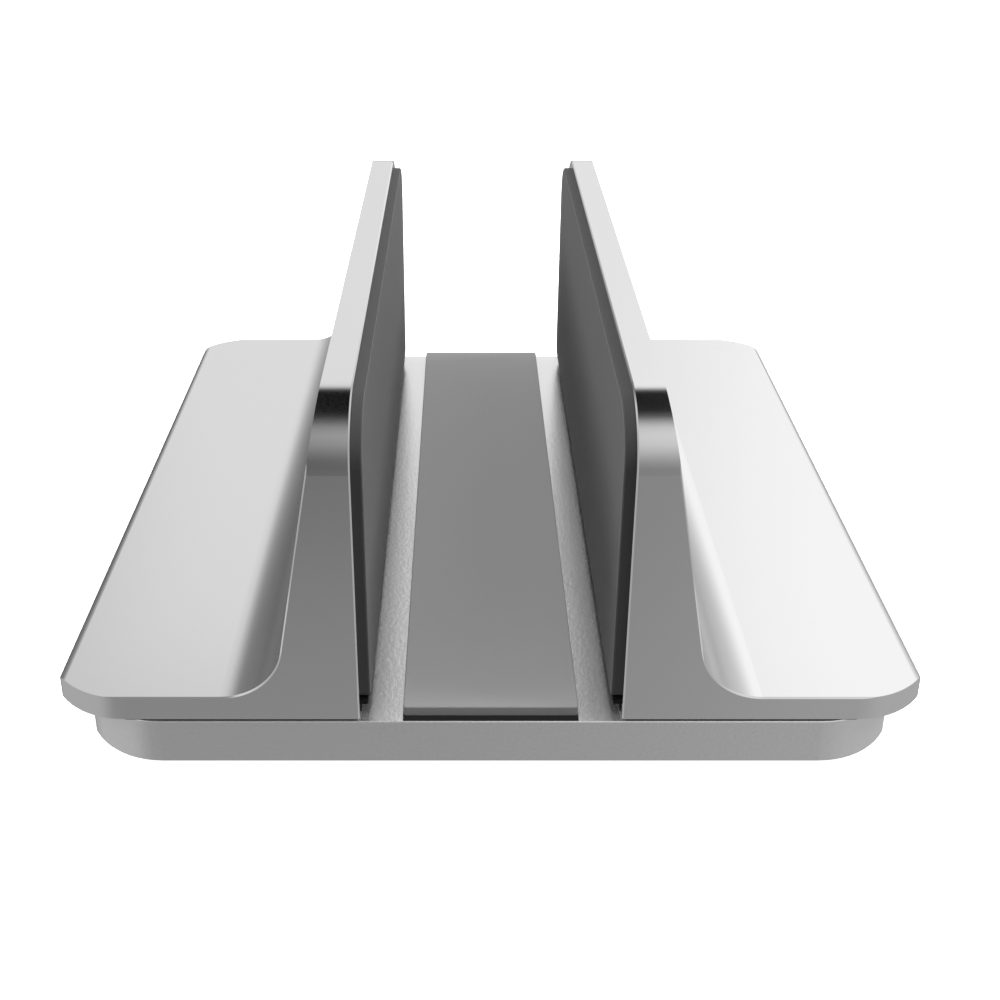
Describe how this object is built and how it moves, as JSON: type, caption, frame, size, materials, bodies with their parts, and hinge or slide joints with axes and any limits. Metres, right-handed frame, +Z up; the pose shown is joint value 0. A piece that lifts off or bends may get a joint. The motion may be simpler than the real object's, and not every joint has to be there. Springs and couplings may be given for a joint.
{
  "type": "vertical laptop stand",
  "caption": "Vertical laptop stand: two aluminium angle brackets with rubber pads slide on a flat base to set the slot width.",
  "frame": {"origin": "on the table, under the middle of the base plate", "axes": "+Z up, +X to the right across the slot along the brackets' travel, -Y to the front"},
  "size_m": [0.18, 0.16, 0.0833],
  "materials": {
    "anodised_aluminium": "bead-blasted and anodised, satin silver",
    "grey_silicone": "matte dark grey",
    "black_rubber": "matte black",
    "zinc_steel": "zinc plated, semi-bright",
    "glide_film": "matte black film"
  },
  "bodies": {
    "base": {"base_plate": "anodised_aluminium", "base_strip": "grey_silicone", "left_front_rubber_foot": "black_rubber", "left_rear_rubber_foot": "black_rubber", "right_front_rubber_foot": "black_rubber", "right_rear_rubber_foot": "black_rubber"},
    "left_slider": {"left_bracket": "anodised_aluminium", "left_upright_pad": "grey_silicone", "left_glide_sheet": "glide_film"},
    "right_slider": {"right_bracket": "anodised_aluminium", "right_upright_pad": "grey_silicone", "right_glide_sheet": "glide_film"},
    "left_front_washer": {"left_front_washer": "zinc_steel"},
    "left_front_screw": {"left_front_screw": "zinc_steel"},
    "left_rear_washer": {"left_rear_washer": "zinc_steel"},
    "left_rear_screw": {"left_rear_screw": "zinc_steel"},
    "right_front_washer": {"right_front_washer": "zinc_steel"},
    "right_front_screw": {"right_front_screw": "zinc_steel"},
    "right_rear_washer": {"right_rear_washer": "zinc_steel"},
    "right_rear_screw": {"right_rear_screw": "zinc_steel"}
  },
  "joints": [
    {"name": "left_bracket_slide", "type": "slide", "parent": "base", "child": "left_slider", "axis": [-1, 0, 0], "range_m": [-0.0085, 0.0095]},
    {"name": "right_bracket_slide", "type": "slide", "parent": "base", "child": "right_slider", "axis": [1, 0, 0], "range_m": [-0.0085, 0.0095]},
    {"name": "left_front_washer_drop", "type": "slide", "parent": "left_slider", "child": "left_front_washer", "axis": [0, 0, -1], "range_m": [0, 0.0014]},
    {"name": "left_front_screw_turn", "type": "hinge", "parent": "left_front_washer", "child": "left_front_screw", "pos_m": [-0.052, -0.04, 0.0058], "axis": [0, 0, -1], "range_deg": [0, 720]},
    {"name": "left_rear_washer_drop", "type": "slide", "parent": "left_slider", "child": "left_rear_washer", "axis": [0, 0, -1], "range_m": [0, 0.0014]},
    {"name": "left_rear_screw_turn", "type": "hinge", "parent": "left_rear_washer", "child": "left_rear_screw", "pos_m": [-0.052, 0.04, 0.0058], "axis": [0, 0, -1], "range_deg": [0, 720]},
    {"name": "right_front_washer_drop", "type": "slide", "parent": "right_slider", "child": "right_front_washer", "axis": [0, 0, -1], "range_m": [0, 0.0014]},
    {"name": "right_front_screw_turn", "type": "hinge", "parent": "right_front_washer", "child": "right_front_screw", "pos_m": [0.052, -0.04, 0.0058], "axis": [0, 0, -1], "range_deg": [0, 720]},
    {"name": "right_rear_washer_drop", "type": "slide", "parent": "right_slider", "child": "right_rear_washer", "axis": [0, 0, -1], "range_m": [0, 0.0014]},
    {"name": "right_rear_screw_turn", "type": "hinge", "parent": "right_rear_washer", "child": "right_rear_screw", "pos_m": [0.052, 0.04, 0.0058], "axis": [0, 0, -1], "range_deg": [0, 720]}
  ],
  "couplings": [
    {"joint": "left_front_screw_turn", "follows": "left_front_washer_drop", "rad_per_m": 8976},
    {"joint": "left_rear_screw_turn", "follows": "left_rear_washer_drop", "rad_per_m": 8976},
    {"joint": "right_front_screw_turn", "follows": "right_front_washer_drop", "rad_per_m": 8976},
    {"joint": "right_rear_screw_turn", "follows": "right_rear_washer_drop", "rad_per_m": 8976}
  ]
}
